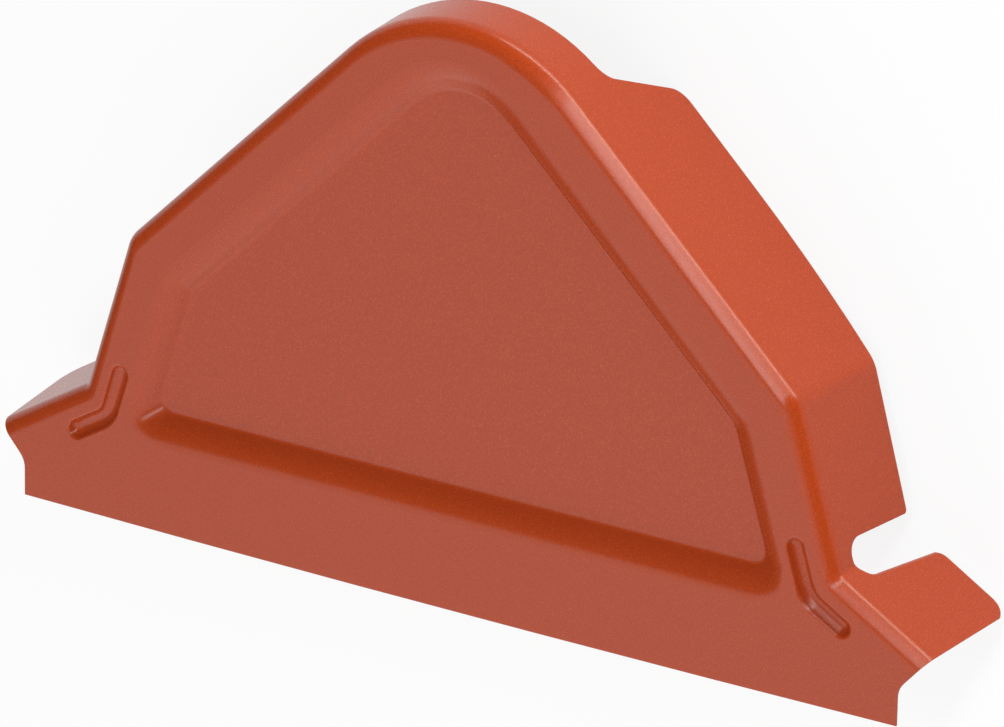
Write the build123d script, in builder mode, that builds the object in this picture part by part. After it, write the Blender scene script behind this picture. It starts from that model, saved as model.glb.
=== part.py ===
"""Ridge end cap: one pressed sheet-steel piece that closes the end of a trapezoid roof ridge.

It lies with its gable face up and the back edges of its walls on the floor.
X runs across the face, Y up the face to the apex, Z out of the face.
Heights are measured up the face from its bottom corners, depths from the face down to the floor.
"""
import os
from math import atan2, cos, degrees, radians, sin, tan

from build123d import *

# Sheet, and the sharp outline of the face before its edges are rounded
sheet_thickness = 0.5
bottom_width = 270.0
bottom_bow = 0.8
slope_pitch = 43.7
apex_radius = 49.5
knee_span = 204.0
knee_height = 79.2
knee_radius = 9.0
foot_span = 231.9
foot_height = 34.7
foot_radius = 3.0
wing_pitch = 30.4
face_edge_radius = 4.9

# Apron below the wings: upright sides, then a curve out to the wing tips
apron_side_height = 7.6
apron_side_radius = 6.0
apron_splay = 42.0

# Walls, which flare outwards from the face to the open back
wall_depth = 38.2
slope_flare = 4.5
flank_flare = 5.2
wing_flare = 6.4
wing_depth = 35.1
wing_edge_splay = 1.2
wing_corner_radius = 4.5

# Back edge: shallow over the apex, deepest on the slopes, easing off to the knees and down the flanks
apex_depth = 17.4
notch_narrow_width = 68.2
notch_wide_width = 87.8
notch_radius = 5.0
slope_bend_inset = 16.6
slope_bend_radius = 210.0
knee_depth = 34.7
flank_end_depth = 33.4

# Slot that parts each wing from its flank
slot_bottom_height = 33.3
slot_width = 9.0
slot_end_depth = 8.7
slot_end_radius = 4.3
slot_mouth_radius = 1.2

# Recessed panel
rim_width = 16.9
panel_bottom_height = 27.3
panel_depth = 4.4
panel_wall_angle = 45.0
panel_corner_radius = 6.0
panel_rim_radius = 9.5
panel_floor_radius = 1.6

# Bent stiffening groove inside each foot, along the flank and then the wing
groove_width = 5.0
groove_depth = 2.1
groove_lip_radius = 0.9
groove_inset = 9.5
groove_upper_run = 13.0
groove_lower_run = 11.6
groove_bend_radius = 8.0

# How far blocks and cutting tools reach past the finished sheet
overrun = 40.0

flank_pitch = degrees(atan2(knee_height - foot_height, (foot_span - knee_span) / 2))
apex_height = knee_height + knee_span / 2 * tan(radians(slope_pitch))
apex_axis_height = apex_height - apex_radius / cos(radians(slope_pitch))
overall_height = bottom_bow + apex_axis_height + apex_radius + apex_depth * tan(radians(slope_flare))

# A point that each sloping line of the face outline passes through
knee_point = (knee_span / 2, knee_height)
foot_point = (foot_span / 2, foot_height)

# The face, plan and side planes share an origin midway between the face's bottom corners.
# In the plan and side planes the second coordinate is depth.
face_origin = (0, bottom_bow - overall_height / 2, wall_depth)
face = Plane(face_origin)
plan_view = Plane(face_origin, x_dir=(1, 0, 0), z_dir=(0, 1, 0))
side_view = Plane(face_origin, x_dir=(0, 1, 0), z_dir=(-1, 0, 0))


def on_face(across, height):
    """Point of the face plane."""
    return face.from_local_coords(Vector(across, height, 0))


def sloping_planes(point, pitch, lean):
    """Right and left planes through a point of the face outline and its mirror image, facing outwards.

    Pitch is the fall of the outline below level, lean the turn of the plane's normal out of the face.
    """
    up = cos(radians(pitch)) * cos(radians(lean))
    across = sin(radians(pitch)) * cos(radians(lean))
    return [
        Plane(on_face(side * point[0], point[1]), z_dir=(side * across, up, sin(radians(lean))))
        for side in (1, -1)
    ]


def rising_edges(block):
    """Edges of a block that run between its top and its bottom, highest up the face last."""
    return block.edges().filter_by(Plane.XY, reverse=True).sort_by(Axis.Y)


def wing_tip(depth):
    """Half width at the wing tips at a depth, where the splayed side line meets the flared wing."""
    pitch = radians(wing_pitch)
    splay = radians(apron_splay)
    start_x = bottom_width / 2 + apron_side_radius * (1 - cos(splay)) + depth * tan(radians(wing_edge_splay))
    start_y = apron_side_height + apron_side_radius * sin(splay)
    gap = sin(pitch) * (foot_point[0] - start_x) + cos(pitch) * (foot_point[1] - start_y)
    run = (gap + depth * tan(radians(wing_flare))) / cos(pitch - splay)
    return start_x + run * sin(splay)


def plain_block(base, thickness):
    """Block standing on a plane, larger all round than the cap."""
    with BuildPart() as block:
        with BuildSketch(base):
            with Locations((0, -overrun)):
                Rectangle(
                    bottom_width + 2 * overrun, apex_height + 2 * overrun, align=(Align.CENTER, Align.MIN)
                )
        extrude(amount=thickness)
    return block.part


def apex_sector(inset):
    """Sector of a flared cone that rounds the apex and touches both slopes."""
    pitch = radians(slope_pitch)
    flare = radians(slope_flare)
    skin_radius = apex_radius - inset / cos(flare)
    axis_point = on_face(0, apex_axis_height)
    start = Plane(axis_point, x_dir=(sin(pitch), cos(pitch), 0), z_dir=(-cos(pitch), sin(pitch), 0))
    with BuildPart() as sector:
        with BuildSketch(start):
            with BuildLine():
                Polyline(
                    (0, inset),
                    (skin_radius + inset * tan(flare), inset),
                    (skin_radius + wall_depth * tan(flare), wall_depth),
                    (0, wall_depth),
                    close=True,
                )
            make_face()
        revolve(axis=Axis(axis_point, (0, 0, 1)), revolution_arc=2 * slope_pitch)
    return sector.part


def gable_block(inset):
    """Block under the slopes and between the flanks, with round knees and apex."""
    walls = sloping_planes(knee_point, slope_pitch, slope_flare)
    walls += sloping_planes(foot_point, flank_pitch, flank_flare)
    corner_reach = apex_radius + 2 * overrun
    corner_side = corner_reach * sin(radians(slope_pitch))
    corner_top = apex_axis_height + corner_reach * cos(radians(slope_pitch))
    with BuildPart() as gable:
        add(plain_block(face.offset(-wall_depth), wall_depth - inset))
        for plane in walls:
            split(bisect_by=plane.offset(-inset), keep=Keep.BOTTOM)
        fillet(rising_edges(gable)[-3:-1], knee_radius - inset)
        with BuildSketch(face):
            with BuildLine():
                Polyline(
                    (0, apex_axis_height), (corner_side, corner_top), (-corner_side, corner_top), close=True
                )
            make_face()
        extrude(amount=-wall_depth, mode=Mode.SUBTRACT)
        add(apex_sector(inset))
    return gable.part


def wing_block(inset):
    """Block under both wings, up to a skin lying `inset` inside them."""
    with BuildPart() as wings:
        add(plain_block(face.offset(-wall_depth), wall_depth - inset))
        for plane in sloping_planes(foot_point, wing_pitch, wing_flare):
            split(bisect_by=plane.offset(-inset), keep=Keep.BOTTOM)
    return wings.part


def panel_block(inset):
    """Block that presses the panel into the face, grown by `inset` for the skin behind."""
    rim_slope = (knee_point[0], knee_point[1] - rim_width / cos(radians(slope_pitch)))
    rim_flank = (foot_point[0] - rim_width / sin(radians(flank_pitch)), foot_point[1])
    lean = panel_wall_angle - 90
    bottom_wall = Plane(
        on_face(0, panel_bottom_height), z_dir=(0, -cos(radians(lean)), sin(radians(lean)))
    )
    walls = sloping_planes(rim_slope, slope_pitch, lean) + sloping_planes(rim_flank, flank_pitch, lean)
    with BuildPart() as panel:
        add(plain_block(face.offset(-panel_depth - inset), 2 * panel_depth))
        for plane in walls + [bottom_wall]:
            split(bisect_by=plane.offset(inset), keep=Keep.BOTTOM)
        fillet(rising_edges(panel)[:4], panel_corner_radius + inset)
        fillet(rising_edges(panel)[-1], apex_radius - rim_width + inset)
    return panel.part


def groove_line():
    """Top, corner and end of the right-hand groove's middle line."""
    flank = radians(flank_pitch)
    wing = radians(wing_pitch)
    reach = groove_inset / cos((flank - wing) / 2)
    corner_x = foot_point[0] - reach * sin((flank + wing) / 2)
    corner_y = foot_point[1] - reach * cos((flank + wing) / 2)
    return [
        (corner_x - groove_upper_run * cos(flank), corner_y + groove_upper_run * sin(flank)),
        (corner_x, corner_y),
        (corner_x + groove_lower_run * cos(wing), corner_y - groove_lower_run * sin(wing)),
    ]


def groove_bar(inset):
    """Rounded bar that presses the right-hand groove, grown by `inset` for the skin behind."""
    rise = (groove_width**2 / 4 - groove_depth**2) / (2 * groove_depth)
    radius = rise + groove_depth + inset
    with BuildPart() as bar:
        with BuildLine(face.offset(rise)) as path:
            FilletPolyline(groove_line(), radius=groove_bend_radius)
        with BuildSketch(path.line ^ 0):
            Circle(radius)
        sweep()
        with Locations(path.line @ 0, path.line @ 1):
            Sphere(radius)
    return bar.part


def pressed_form(inset):
    """Solid that fills the cap up to a skin lying `inset` inside its outer surface."""
    feet = [on_face(side * foot_point[0], foot_point[1]) for side in (1, -1)]
    groove = groove_bar(inset)
    with BuildPart() as form:
        add(gable_block(inset))
        add(wing_block(inset))
        fillet([rising_edges(form).sort_by_distance(foot)[0] for foot in feet], foot_radius + inset)
        fillet(form.faces().sort_by(Axis.Z)[-1].edges(), face_edge_radius - inset)
        add(panel_block(inset), mode=Mode.SUBTRACT)
        fillet(form.faces().sort_by(Axis.Z)[-1].inner_wires()[0].edges(), panel_rim_radius - inset)
        panel_floor = form.faces().filter_by(Axis.Z).sort_by(Axis.Z)[-2]
        fillet(panel_floor.edges(), panel_floor_radius + inset)
        add([groove, groove.mirror(Plane.YZ)], mode=Mode.SUBTRACT)
        groove_rims = form.faces().sort_by(Axis.Z)[-1].inner_wires().sort_by(SortBy.LENGTH)[:2]
        fillet([edge for rim in groove_rims for edge in rim.edges()], groove_lip_radius - inset)
    return form.part


def side_trim():
    """Cutter beside the right-hand apron edge and wing tip, leaning out with the wing's outer edge."""
    lean = radians(wing_edge_splay)
    outside = bottom_width / 2 + 2 * overrun
    with BuildPart() as trim:
        with BuildSketch(face):
            with BuildLine():
                upright = Line((bottom_width / 2, -overrun), (bottom_width / 2, apron_side_height))
                curve = JernArc(upright @ 1, upright % 1, apron_side_radius, -apron_splay)
                splay = Line(curve @ 1, curve @ 1 + (curve % 1) * overrun)
                Polyline(splay @ 1, (outside, (splay @ 1).Y), (outside, -overrun), upright @ 0)
            make_face()
        extrude(amount=wall_depth / cos(lean), dir=(sin(lean), 0, -cos(lean)))
    return trim.part


os.makedirs("parts", exist_ok=True)
with BuildPart() as end_cap:
    add(pressed_form(0.0))
    add(pressed_form(sheet_thickness), mode=Mode.SUBTRACT)

    # Bowed bottom edge, apron sides and wing tips
    with BuildSketch(face):
        with BuildLine():
            bottom_edge = ThreePointArc((-bottom_width / 2, 0), (0, -bottom_bow), (bottom_width / 2, 0))
            Polyline(
                bottom_edge @ 1,
                (bottom_width, 0),
                (bottom_width, -2 * overrun),
                (-bottom_width, -2 * overrun),
                (-bottom_width, 0),
                bottom_edge @ 0,
            )
        make_face()
    extrude(amount=-wall_depth, mode=Mode.SUBTRACT)
    right_trim = side_trim()
    add([right_trim, right_trim.mirror(Plane.YZ)], mode=Mode.SUBTRACT)

    # Back edge of the apex and slopes, seen in plan
    knee_back = knee_span / 2 + knee_depth * tan(radians(flank_flare))
    with BuildSketch(plan_view.offset(knee_height)):
        with BuildLine():
            back_edge = FilletPolyline(
                (0, apex_depth),
                (notch_narrow_width / 2, apex_depth),
                (notch_wide_width / 2, wall_depth),
                (knee_span / 2 - slope_bend_inset, wall_depth),
                (knee_back, knee_depth),
                radius=[notch_radius, notch_radius, slope_bend_radius],
            )
            Polyline(
                back_edge @ 1,
                (knee_back + overrun, knee_depth),
                (knee_back + overrun, wall_depth + overrun),
                (0, wall_depth + overrun),
                back_edge @ 0,
            )
        make_face()
        mirror(about=Plane.YZ)
    extrude(amount=apex_height, mode=Mode.SUBTRACT)

    # Back edge of the wings, slots, and back edge of the flanks, seen from the side
    slot_top_height = slot_bottom_height + slot_width
    with BuildSketch(side_view):
        with BuildLine():
            slot_edge = FilletPolyline(
                (0, wing_depth),
                (slot_bottom_height, wing_depth),
                (slot_bottom_height, slot_end_depth),
                (slot_top_height, slot_end_depth),
                (slot_top_height, flank_end_depth),
                (knee_height, knee_depth),
                radius=[slot_mouth_radius, slot_end_radius, slot_end_radius, slot_mouth_radius],
            )
            Polyline(
                slot_edge @ 1,
                (knee_height, wall_depth + overrun),
                (0, wall_depth + overrun),
                slot_edge @ 0,
            )
        make_face()
    extrude(amount=bottom_width, both=True, mode=Mode.SUBTRACT)

    # Outer back corners of the wings, seen in plan
    corner_run = 2 * wing_corner_radius
    corner_side = wing_tip(wing_depth) - corner_run
    with BuildSketch(plan_view):
        with BuildLine():
            corner = FilletPolyline(
                (corner_side, wing_depth),
                (wing_tip(wing_depth), wing_depth),
                (wing_tip(wing_depth - corner_run), wing_depth - corner_run),
                radius=wing_corner_radius,
            )
            Polyline(
                corner @ 1,
                (corner_side + overrun, wing_depth - corner_run),
                (corner_side + overrun, wall_depth + overrun),
                (corner_side, wall_depth + overrun),
                corner @ 0,
            )
        make_face()
        mirror(about=Plane.YZ)
    extrude(amount=slot_bottom_height, mode=Mode.SUBTRACT)

end_cap.part.label = "end_cap"
export_step(end_cap.part, "parts/end_cap.step")
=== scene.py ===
"""Looks of the ridge end cap: brick-red satin paint on pressed steel sheet, and a white studio round it."""

from math import radians

import bpy
from bpy.props import FloatProperty, FloatVectorProperty, PointerProperty
from mathutils import Matrix, Vector

bl_info = {
    "name": "Ridge End Cap",
    "version": (1, 0, 0),
    "blender": (4, 5, 0),
    "location": "3D View > Sidebar > End Cap",
    "description": "Dresses the pressed ridge end cap in satin paint and sets a white studio round it",
    "category": "Object",
}

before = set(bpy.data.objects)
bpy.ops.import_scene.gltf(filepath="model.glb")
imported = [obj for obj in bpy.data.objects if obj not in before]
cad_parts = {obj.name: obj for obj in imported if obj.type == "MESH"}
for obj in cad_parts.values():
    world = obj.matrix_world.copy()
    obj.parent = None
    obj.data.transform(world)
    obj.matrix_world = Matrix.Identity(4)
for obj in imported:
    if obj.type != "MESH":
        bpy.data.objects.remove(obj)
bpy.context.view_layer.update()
cap_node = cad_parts["end_cap"]

white = (1.0, 1.0, 1.0)
paint_specular = 0.32
paint_roughness = (0.21, 0.31)
grain_detail = 2.0
grain_spread = (0.3, 0.7)
speck_scale = 0.6
speck_fade = (0.16, 0.06)
peel_strength = 0.15
peel_depth = 0.00004
sensor_width = 36.0
floor_reach = 6.0
floor_roughness = 0.9
floor_white_share = 0.86
face_middle = (0.0, 0.0, 0.03)
wall_middle = (0.0, 0.0, 0.02)
softbox_size, softbox_spot = (2.6, 2.3), (-0.05, -0.97, 0.93)
kicker_size, kicker_spot = (0.13, 1.6), (0.385, 0.55, 0.672)
strip_size, strip_spot = (1.2, 0.05), (0.39, 0.82, 0.025)


class CapPaintSettings(bpy.types.PropertyGroup):
    """Colours and grain of the satin paint."""

    paint_color: FloatVectorProperty(
        name="Paint", description="Middle tone of the paint", subtype="COLOR",
        size=4, min=0.0, max=1.0, default=(0.400, 0.048, 0.007, 1.0),
    )
    deep_color: FloatVectorProperty(
        name="Deep Tone", description="Darker tone in the paint's grain", subtype="COLOR",
        size=4, min=0.0, max=1.0, default=(0.285, 0.032, 0.005, 1.0),
    )
    speck_color: FloatVectorProperty(
        name="Specks", description="Tone of the fine bright specks", subtype="COLOR",
        size=4, min=0.0, max=1.0, default=(0.52, 0.10, 0.04, 1.0),
    )
    grain_size: FloatProperty(
        name="Grain", description="Size of the paint's grain", unit="LENGTH", subtype="DISTANCE",
        min=0.0001, max=0.01, default=0.00035,
    )


class StudioSettings(bpy.types.PropertyGroup):
    """Camera, floor and lamps."""

    lens: FloatProperty(
        name="Lens", description="Focal length of the camera", subtype="DISTANCE_CAMERA", default=290.7,
    )
    eye: FloatVectorProperty(
        name="Eye", description="Place of the camera", subtype="TRANSLATION", unit="LENGTH",
        size=3, default=(1.06698, 0.71615, 1.65221),
    )
    back: FloatVectorProperty(
        name="Back", description="Direction from the cap back to the camera", subtype="DIRECTION",
        size=3, default=(0.5107, 0.3522, 0.7843),
    )
    right: FloatVectorProperty(
        name="Right", description="Direction to the right of the picture, before the roll", subtype="DIRECTION",
        size=3, default=(0.8380, 0.0, -0.5457),
    )
    roll: FloatProperty(
        name="Roll", description="Turn of the camera about its line of sight", subtype="ANGLE",
        default=radians(0.948),
    )
    floor_color: FloatVectorProperty(
        name="Floor", description="Colour of the floor", subtype="COLOR",
        size=4, min=0.0, max=1.0, default=(0.8, 0.8, 0.8, 1.0),
    )
    fill: FloatProperty(
        name="Fill", description="Strength of the soft light from all round", min=0.0, default=0.1,
    )
    softbox_power: FloatProperty(
        name="Softbox Power", description="Power of the large lamp facing the bottom edge", subtype="POWER",
        unit="POWER", default=31.0,
    )
    strip_power: FloatProperty(
        name="Strip Power", description="Power of the low strip lamp beside the walls", subtype="POWER",
        unit="POWER", default=6.4,
    )
    kicker_power: FloatProperty(
        name="Kicker Power", description="Power of the tall lamp beyond the right slope", subtype="POWER",
        unit="POWER", default=8.2,
    )
    strip_color: FloatVectorProperty(
        name="Strip Colour", description="Warm tint of the strip lamp", subtype="COLOR",
        size=3, min=0.0, max=1.0, default=(1.0, 0.98, 0.85),
    )


def new_node(tree, kind, place, **settings):
    """Adds a node of a kind at a place in a node tree, with its settings."""
    node = tree.nodes.new(kind)
    node.location = place
    for name, value in settings.items():
        setattr(node, name, value)
    return node


def satin_paint(paint):
    """Satin paint: two tones in a fine grain, scattered bright specks, and a slight orange peel."""
    material = bpy.data.materials.new("satin_paint")
    material.use_nodes = True
    tree = material.node_tree
    shader = tree.nodes["Principled BSDF"]
    shader.inputs["Specular IOR Level"].default_value = paint_specular
    place = new_node(tree, "ShaderNodeTexCoord", (-1200, 0))
    grain = new_node(tree, "ShaderNodeTexNoise", (-900, 300))
    grain.inputs["Scale"].default_value = 1.0 / paint.grain_size
    grain.inputs["Detail"].default_value = grain_detail
    spread = new_node(tree, "ShaderNodeMapRange", (-650, 300))
    spread.inputs["From Min"].default_value, spread.inputs["From Max"].default_value = grain_spread
    tones = new_node(tree, "ShaderNodeMix", (-400, 300), data_type="RGBA")
    tones.inputs["A"].default_value = paint.deep_color
    tones.inputs["B"].default_value = paint.paint_color
    specks = new_node(tree, "ShaderNodeTexVoronoi", (-900, 0))
    specks.inputs["Scale"].default_value = speck_scale / paint.grain_size
    near = new_node(tree, "ShaderNodeMapRange", (-650, 0))
    near.inputs["From Min"].default_value, near.inputs["From Max"].default_value = speck_fade
    speckled = new_node(tree, "ShaderNodeMix", (-200, 200), data_type="RGBA")
    speckled.inputs["B"].default_value = paint.speck_color
    gloss = new_node(tree, "ShaderNodeMapRange", (-400, -100))
    gloss.inputs["To Min"].default_value, gloss.inputs["To Max"].default_value = paint_roughness
    peel = new_node(tree, "ShaderNodeBump", (-200, -300))
    peel.inputs["Strength"].default_value = peel_strength
    peel.inputs["Distance"].default_value = peel_depth
    links = tree.links
    for texture in (grain, specks):
        links.new(place.outputs["Object"], texture.inputs["Vector"])
    links.new(grain.outputs["Fac"], spread.inputs["Value"])
    links.new(spread.outputs["Result"], tones.inputs["Factor"])
    links.new(specks.outputs["Distance"], near.inputs["Value"])
    links.new(near.outputs["Result"], speckled.inputs["Factor"])
    links.new(tones.outputs["Result"], speckled.inputs["A"])
    links.new(speckled.outputs["Result"], shader.inputs["Base Color"])
    links.new(grain.outputs["Fac"], gloss.inputs["Value"])
    links.new(gloss.outputs["Result"], shader.inputs["Roughness"])
    links.new(grain.outputs["Fac"], peel.inputs["Height"])
    links.new(peel.outputs["Normal"], shader.inputs["Normal"])
    return material


class CAP_OT_paint(bpy.types.Operator):
    """Paint the pressed cap"""

    bl_idname = "end_cap.paint"
    bl_label = "Paint the Cap"

    def execute(self, context):
        cap_node.data.materials.clear()
        cap_node.data.materials.append(satin_paint(context.scene.cap_paint))
        return {"FINISHED"}


def lamp(name, size, power, color, spot, aim):
    """Rectangular area lamp at a spot, turned towards a point."""
    light = bpy.data.lights.new(name, "AREA")
    light.shape = "RECTANGLE"
    light.size, light.size_y = size
    light.energy = power
    light.color = color
    holder = bpy.data.objects.new(name, light)
    holder.location = spot
    holder.rotation_euler = (Vector(aim) - Vector(spot)).to_track_quat("-Z", "Y").to_euler()
    bpy.context.scene.collection.objects.link(holder)
    return holder


def white_for_camera(tree, plain, seen_as):
    """Socket with one number for camera, glossy and see-through rays, and another for the rest."""
    rays = new_node(tree, "ShaderNodeLightPath", (-900, 0))
    seen = new_node(tree, "ShaderNodeMath", (-700, 0), operation="MAXIMUM")
    mirrored = new_node(tree, "ShaderNodeMath", (-500, 0), operation="MAXIMUM")
    strength = new_node(tree, "ShaderNodeMapRange", (-300, 0))
    strength.inputs["To Min"].default_value = plain
    strength.inputs["To Max"].default_value = seen_as
    tree.links.new(rays.outputs["Is Camera Ray"], seen.inputs[0])
    tree.links.new(rays.outputs["Is Glossy Ray"], seen.inputs[1])
    tree.links.new(seen.outputs[0], mirrored.inputs[0])
    tree.links.new(rays.outputs["Is Transmission Ray"], mirrored.inputs[1])
    tree.links.new(mirrored.outputs[0], strength.inputs["Value"])
    return strength.outputs["Result"]


class CAP_OT_studio(bpy.types.Operator):
    """Set the floor, lamps and camera"""

    bl_idname = "end_cap.studio"
    bl_label = "Set the Studio"

    def execute(self, context):
        studio = context.scene.cap_studio
        scene = context.scene
        camera = bpy.data.cameras.new("camera")
        camera.lens = studio.lens
        camera.sensor_fit = "HORIZONTAL"
        camera.sensor_width = sensor_width
        camera.clip_end = 100.0
        back = Vector(studio.back).normalized()
        right = Vector(studio.right).normalized()
        turn = Matrix((right, back.cross(right), back)).transposed() @ Matrix.Rotation(studio.roll, 3, "Z")
        holder = bpy.data.objects.new("camera", camera)
        holder.matrix_world = Matrix.Translation(Vector(studio.eye)) @ turn.to_4x4()
        scene.collection.objects.link(holder)
        scene.camera = holder
        scene.view_settings.view_transform = "Standard"
        world = bpy.data.worlds.new("studio")
        scene.world = world
        world.use_nodes = True
        shade = world.node_tree.nodes["Background"]
        shade.inputs["Color"].default_value = (*white, 1.0)
        shade.inputs["Strength"].default_value = studio.fill
        corners = [(x * floor_reach, y * floor_reach, 0.0) for x, y in ((-1, -1), (1, -1), (1, 1), (-1, 1))]
        mesh = bpy.data.meshes.new("floor")
        mesh.from_pydata(corners, [], [(0, 1, 2, 3)])
        floor = bpy.data.objects.new("floor", mesh)
        scene.collection.objects.link(floor)
        material = bpy.data.materials.new("pale_floor")
        material.use_nodes = True
        shader = material.node_tree.nodes["Principled BSDF"]
        shader.inputs["Base Color"].default_value = studio.floor_color
        shader.inputs["Roughness"].default_value = floor_roughness
        shader.inputs["Specular IOR Level"].default_value = 0.0
        mesh.materials.append(material)
        tree = material.node_tree
        glow = new_node(tree, "ShaderNodeEmission", (0, -500))
        blend = new_node(tree, "ShaderNodeMixShader", (300, -200))
        share = white_for_camera(tree, 0.0, floor_white_share)
        tree.links.new(share, blend.inputs["Fac"])
        tree.links.new(shader.outputs["BSDF"], blend.inputs[1])
        tree.links.new(glow.outputs["Emission"], blend.inputs[2])
        tree.links.new(blend.outputs["Shader"], tree.nodes["Material Output"].inputs["Surface"])
        lamp("softbox", softbox_size, studio.softbox_power, white, softbox_spot, face_middle)
        lamp("kicker", kicker_size, studio.kicker_power, white, kicker_spot, face_middle)
        lamp("strip", strip_size, studio.strip_power, studio.strip_color, strip_spot, wall_middle)
        return {"FINISHED"}


class CAP_PT_panel(bpy.types.Panel):
    """Sidebar panel with the settings and steps of the end cap"""

    bl_idname = "CAP_PT_panel"
    bl_label = "End Cap"
    bl_space_type = "VIEW_3D"
    bl_region_type = "UI"
    bl_category = "End Cap"

    def draw(self, context):
        layout = self.layout
        for name in CapPaintSettings.__annotations__:
            layout.prop(context.scene.cap_paint, name)
        layout.operator(CAP_OT_paint.bl_idname)
        for name in StudioSettings.__annotations__:
            layout.prop(context.scene.cap_studio, name)
        layout.operator(CAP_OT_studio.bl_idname)


classes = (CapPaintSettings, StudioSettings, CAP_OT_paint, CAP_OT_studio, CAP_PT_panel)


def register():
    for cls in classes:
        bpy.utils.register_class(cls)
    bpy.types.Scene.cap_paint = PointerProperty(type=CapPaintSettings)
    bpy.types.Scene.cap_studio = PointerProperty(type=StudioSettings)


def unregister():
    del bpy.types.Scene.cap_studio
    del bpy.types.Scene.cap_paint
    for cls in reversed(classes):
        bpy.utils.unregister_class(cls)


def main():
    register()
    bpy.ops.end_cap.paint()
    bpy.ops.end_cap.studio()


if __name__ == "__main__":
    main()
